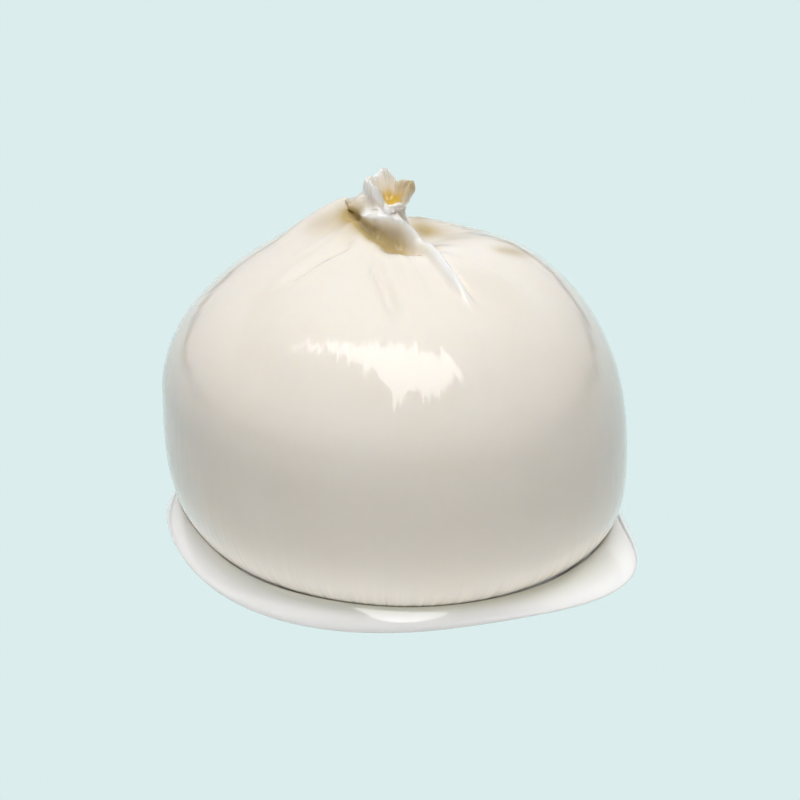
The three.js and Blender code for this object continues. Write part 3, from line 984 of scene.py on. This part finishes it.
    def side_fold(self, stage: Array, angle: Array) -> Array:
        """The thick fold of skin on the left side of the tie, outwards, in millimetres."""
        start, middle, end = self.side_stages
        swell = smooth(start, middle, stage) * (1.0 - smooth(middle, end, stage))
        beside = round_bell(angle, radians(self.side_angle), self.side_spread)
        return self.side_height * swell * beside

    def place(self, stage: Array, angle: Array) -> Array:
        """The finished skin: the smooth one, moved along its normal by every fold."""
        place, radius = self.skin(stage, angle)
        span = np.maximum(radius, 1.0)
        shoulder = (stage > self.girth_stage) & (stage <= 2.0)
        relief = self.gathers(span, angle) - self.hollow_depth * self.hollow(span, angle)
        for pleat in self.pleats:
            relief = relief + pleat.relief(span, angle)
        relief = np.where(shoulder, relief, 0.0)
        outside = (stage > self.girth_stage) & (stage <= self.edge_stage)
        for fold in self.folds:
            relief = relief + np.where(outside, fold.relief(*self.along(fold.route, place)), 0.0)
        top = self.join_phi(angle)
        phi = np.where(
            stage <= 1,
            -pi / 2 + stage * (top + pi / 2),
            top * np.maximum(2.0 - stage, 0.0),
        )
        outwards = relief * np.cos(phi) + self.frills(stage, angle) + self.side_fold(stage, angle)
        place[:, 0] += outwards * np.cos(angle)
        place[:, 1] += outwards * np.sin(angle)
        place[:, 2] += relief * np.sin(phi)
        return place

    # ---- colour ----

    def cream_and_shade(self, stage: Array, angle: Array) -> Array:
        """How much brownish wash of cream and painted shade lies on the skin, from 0 to 1."""
        place, radius = self.skin(stage, angle)
        shoulder = (stage > self.girth_stage) & (stage <= 2.0)
        # Cream and painted shade in the hollow in front of the neck and on the knot's right lobe.
        tint = np.where(shoulder, self.hollow_shade_tint * self.hollow(radius, angle), 0.0)
        right_lobe = smooth(*self.lobe_stages, stage) * round_bell(angle, 0.0, self.lobe_spread)
        tint = tint + self.lobe_shade_tint * right_lobe
        for cream_shade_spot in self.cream_and_shade_spots:
            centre, _ = self.skin(np.array(cream_shade_spot.stage), np.radians(cream_shade_spot.angle))
            tint = tint + cream_shade_spot.strength * bell(np.linalg.norm(place - centre, axis=1), cream_shade_spot.reach)
        return np.clip(tint, 0.0, 1.0)

    def painted_sheen(self, stage: Array, angle: Array) -> Array:
        """How strong the painted sheen is, from 0 to 1: on the knot and the strip round the tie."""
        place, _ = self.skin(stage, angle)
        strip = self.folds[0]
        outside = (stage > self.girth_stage) & (stage <= self.edge_stage)
        raised = strip.relief(*self.along(strip.route, place)) / strip.height
        # Painted sheen along the raised strip, where its gloss shines.
        sheen_on_strip = np.where(outside, self.sheen_strength * raised, 0.0)
        start, full, ebbing, gone = self.sheen_stages
        knot = smooth(start, full, stage) * (1.0 - smooth(ebbing, gone, stage))
        left_lobe = 1.0 - round_bell(angle, 0.0, self.sheen_gap)
        return np.maximum(sheen_on_strip, self.sheen_strength * knot * left_lobe)

    def butter(self, stage: Array) -> Array:
        """How much of the yellow cream shows inside the knot, from 0 to 1."""
        return smooth(*self.butter_stages, stage)

    def build(self) -> Object:
        """Makes the cheese and dresses it."""
        piece, stage, angle = swept_object("burrata_cheese", self.segments, self.rings, self.place)
        _, height = self.skin_profile(stage, angle)
        across = self.radius * np.cos(angle), self.radius * np.sin(angle)
        fibre = np.stack([*across, height / self.fibre_stretch], axis=-1)
        store(piece.data, "fibre", fibre * MM)
        store(piece.data, "cream_and_shade", self.cream_and_shade(stage, angle))
        store(piece.data, "painted_sheen", self.painted_sheen(stage, angle))
        store(piece.data, "butter", self.butter(stage))
        piece.data.materials.append(CurdSkin().material())
        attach(piece, "root")
        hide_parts("burrata")
        return piece


# ---------- studio ----------


@dataclass
class Studio:
    """A pale blue-green sweep, the glowing sheets that light it, a dim room and the camera."""

    sweep_colour: str = "#dbeded"
    floor_tone: str = "#bcbab7"
    sheet_segments: int = 48
    floor_side: float = 12.0  # metres
    softbox_height: float = 1200.0
    softbox_outline: tuple[Pair, ...] = (
        (-900.0, 90.0), (-330.0, -190.0), (110.0, -215.0), (330.0, -320.0), (660.0, -420.0),
        (765.0, -570.0), (735.0, -735.0), (630.0, -1000.0), (414.0, -1220.0), (150.0, -1280.0),
        (12.0, -1105.0), (-96.0, -790.0), (-234.0, -610.0), (-370.0, -455.0), (-650.0, -150.0),
    )
    softbox_strength: float = 5.0
    scrim_radius: float = 560.0
    scrim_place: Triple = (-15.0, -90.0, 1210.0)
    scrim_strength: float = 4.7
    reflector_radius: float = 600.0
    reflector_place: Triple = (-80.0, -1300.0, 480.0)
    reflector_widening: float = 1.8
    reflector_strength: float = 0.75
    bounce_radius: float = 58.0
    bounce_heights: Pair = (2.0, 14.0)
    bounce_strength: float = 0.75
    glint_place: Triple = (50.0, -560.0, 830.0)
    glint_radius: float = 600.0
    glint_widening: float = 0.43
    glint_strength: float = 3.6
    horizon_strength: float = 0.7
    wall_radius: float = 1400.0
    wall_heights: Pair = (150.0, 1000.0)
    fill_strength: float = 0.8
    room_strength: float = 0.1
    camera_target: Triple = (0.95, 0.0, 36.9)
    camera_elevation: float = 22.0
    camera_distance: float = 616.0
    camera_lens: float = 143.55

    def sweep_material(self) -> Material:
        """A pale sweep: even blue-green as seen, and neutral in the light that it throws back."""
        material, tree = new_material("Studio sweep")
        path = add_node(tree, "LightPath")
        looked_at = add_node(
            tree,
            "Math",
            links={0: path.outputs["Is Camera Ray"], 1: path.outputs["Is Glossy Ray"]},
            operation="MAXIMUM",
        )
        seen = add_node(tree, "Emission", {"Color": linear(self.sweep_colour)})
        lit = add_node(tree, "BsdfDiffuse", {"Color": linear(self.floor_tone)})
        mixed = add_node(
            tree,
            "MixShader",
            links={0: looked_at.outputs[0], 1: lit.outputs[0], 2: seen.outputs[0]},
        )
        add_node(tree, "OutputMaterial", links={"Surface": mixed.outputs[0]})
        return material

    def build_floor(self) -> None:
        """Lays the floor of the sweep under the dish."""
        bm = bmesh.new()
        bmesh.ops.create_grid(bm, x_segments=1, y_segments=1, size=self.floor_side / 2)
        mesh_object("sweep", bm, self.sweep_material())

    def hang(self, name: str, bm: BMesh, strength: float, mirrored: bool) -> Object:
        """Hangs a glowing sheet out of the camera's sight, which lets all other light through.

        Args:
            name: The sheet's name.
            bm: Its shape, which is freed.
            strength: How brightly it glows.
            mirrored: Whether only the gloss sees it, or only the matt surfaces.

        Returns:
            The sheet.
        """
        material, tree = new_material(name)
        glow = add_node(tree, "Emission", {"Strength": strength})
        clear = add_node(tree, "BsdfTransparent")
        both = add_node(tree, "AddShader", links={0: glow.outputs[0], 1: clear.outputs[0]})
        add_node(tree, "OutputMaterial", links={"Surface": both.outputs[0]})
        sheet = mesh_object(name, bm, material)
        sheet.visible_camera = sheet.visible_shadow = False
        sheet.visible_glossy = mirrored
        sheet.visible_diffuse = not mirrored
        return sheet

    def disc(self, radius: float, place: Triple, widening: float = 1.0) -> BMesh:
        """Makes a round sheet that faces the table's middle.

        Args:
            radius: Its radius.
            place: Its middle.
            widening: Its width over its height.

        Returns:
            The sheet's shape.
        """
        bm = bmesh.new()
        segments = self.sheet_segments
        bmesh.ops.create_circle(bm, cap_ends=True, segments=segments, radius=radius * MM)
        bmesh.ops.scale(bm, verts=bm.verts, vec=(widening, 1.0, 1.0))
        away = Vector(place).to_track_quat("Z", "Y").to_matrix()
        bmesh.ops.rotate(bm, verts=bm.verts, cent=(0, 0, 0), matrix=away)
        bmesh.ops.translate(bm, verts=bm.verts, vec=Vector(place) * MM)
        return bm

    def band(self, radius: float, heights: Pair) -> BMesh:
        """Makes an upright band round the table's middle, between two heights."""
        low, high = heights
        bm = bmesh.new()
        bmesh.ops.create_cone(
            bm,
            segments=self.sheet_segments,
            radius1=radius * MM,
            radius2=radius * MM,
            depth=(high - low) * MM,
            cap_ends=False,
        )
        bmesh.ops.translate(bm, verts=bm.verts, vec=(0.0, 0.0, (low + high) / 2 * MM))
        return bm

    def light_only(self, sheet: Object, piece: Object, soft: bool = False) -> None:
        """Lets a sheet light one piece alone.

        Args:
            sheet: The glowing sheet.
            piece: The piece that it lights.
            soft: Whether only the floor shades its light, which then reaches into the crevices.
        """
        lit = bpy.data.collections.new(f"Lit by the {sheet.name}")
        lit.objects.link(piece)
        sheet.light_linking.receiver_collection = lit
        if soft:
            blockers = bpy.data.collections.new(f"Shades the {sheet.name}")
            blockers.objects.link(bpy.data.objects["sweep"])
            sheet.light_linking.blocker_collection = blockers

    def build_lights(self) -> None:
        """Hangs the lights that every piece sees.

        The matt surfaces are lit by a round scrim overhead and by a reflector low in front. The
        gloss mirrors a pale wall round the table.
        """
        high = self.disc(self.scrim_radius, self.scrim_place)
        self.hang("scrim", high, self.scrim_strength, mirrored=False)
        low = self.disc(self.reflector_radius, self.reflector_place, self.reflector_widening)
        self.hang("reflector", low, self.reflector_strength, mirrored=False)
        wall = self.band(self.wall_radius, self.wall_heights)
        self.hang("horizon", wall, self.horizon_strength, mirrored=True)

    def light_dish(self, dish: Object) -> None:
        """Lights the dish alone.

        A glowing wall round the table fills it, and its glaze mirrors a tall sheet in front.
        """
        wall = self.band(self.wall_radius, self.wall_heights)
        self.light_only(self.hang("fill", wall, self.fill_strength, mirrored=False), dish)
        tall = self.disc(self.glint_radius, self.glint_place, self.glint_widening)
        self.light_only(self.hang("glint", tall, self.glint_strength, mirrored=True), dish)

    def light_cheese(self, cheese: Object) -> None:
        """Lights the cheese alone.

        Its film mirrors a softbox with a long tapered end, and light from the dish brightens its
        foot.
        """
        bm = bmesh.new()
        height = self.softbox_height
        bm.faces.new([bm.verts.new((x * MM, y * MM, height * MM)) for x, y in self.softbox_outline])
        self.light_only(self.hang("softbox", bm, self.softbox_strength, mirrored=True), cheese)
        low = self.band(self.bounce_radius, self.bounce_heights)
        bounce = self.hang("bounce", low, self.bounce_strength, mirrored=False)
        self.light_only(bounce, cheese, soft=True)

    def build_room(self) -> None:
        """Fills the room with a faint even light."""
        world = bpy.data.worlds.new("Room")
        bpy.context.scene.world = world
        world.use_nodes = True
        tree = world.node_tree
        tree.nodes.clear()
        faint = {"Color": linear("#ffffff"), "Strength": self.room_strength}
        room = add_node(tree, "Background", faint)
        seen = add_node(tree, "Background", {"Color": linear(self.sweep_colour)})
        path = add_node(tree, "LightPath")
        mixed = add_node(
            tree,
            "MixShader",
            links={0: path.outputs["Is Camera Ray"], 1: room.outputs[0], 2: seen.outputs[0]},
        )
        add_node(tree, "OutputWorld", links={"Surface": mixed.outputs[0]})

    def build_camera(self) -> None:
        """Sets the camera up in front of the cheese, looking a little down on it."""
        data = bpy.data.cameras.new("camera")
        data.sensor_width = 36.0
        data.lens = self.camera_lens
        camera = bpy.data.objects.new("camera", data)
        bpy.context.collection.objects.link(camera)
        elevation = radians(self.camera_elevation)
        back = Vector((0.0, -cos(elevation), sin(elevation)))
        target = (Vector(self.camera_target) + AXIS_SHIFT) * MM
        camera.location = target + back * self.camera_distance * MM
        camera.rotation_mode = "QUATERNION"
        camera.rotation_quaternion = (-back).to_track_quat("-Z", "Y")
        data.clip_start, data.clip_end = 0.01, 50.0
        bpy.context.scene.camera = camera

    def build(self) -> None:
        """Builds the whole studio."""
        bpy.context.scene.view_settings.view_transform = "Standard"
        self.build_floor()
        self.build_lights()
        self.build_room()
        self.build_camera()


def main() -> None:
    """Builds the studio, the dish and the cheese, and reports each piece."""
    logging.basicConfig(level=logging.INFO, format="%(name)s: %(message)s")
    studio = Studio()
    studio.build()
    dish = Dish().build()
    studio.light_dish(dish)
    cheese = Burrata().build()
    studio.light_cheese(cheese)
    for piece in (dish, cheese):
        LOG.info("%s: %d vertices", piece.name, len(piece.data.vertices))
    bpy.context.view_layer.update()


if __name__ == "__main__":
    main()
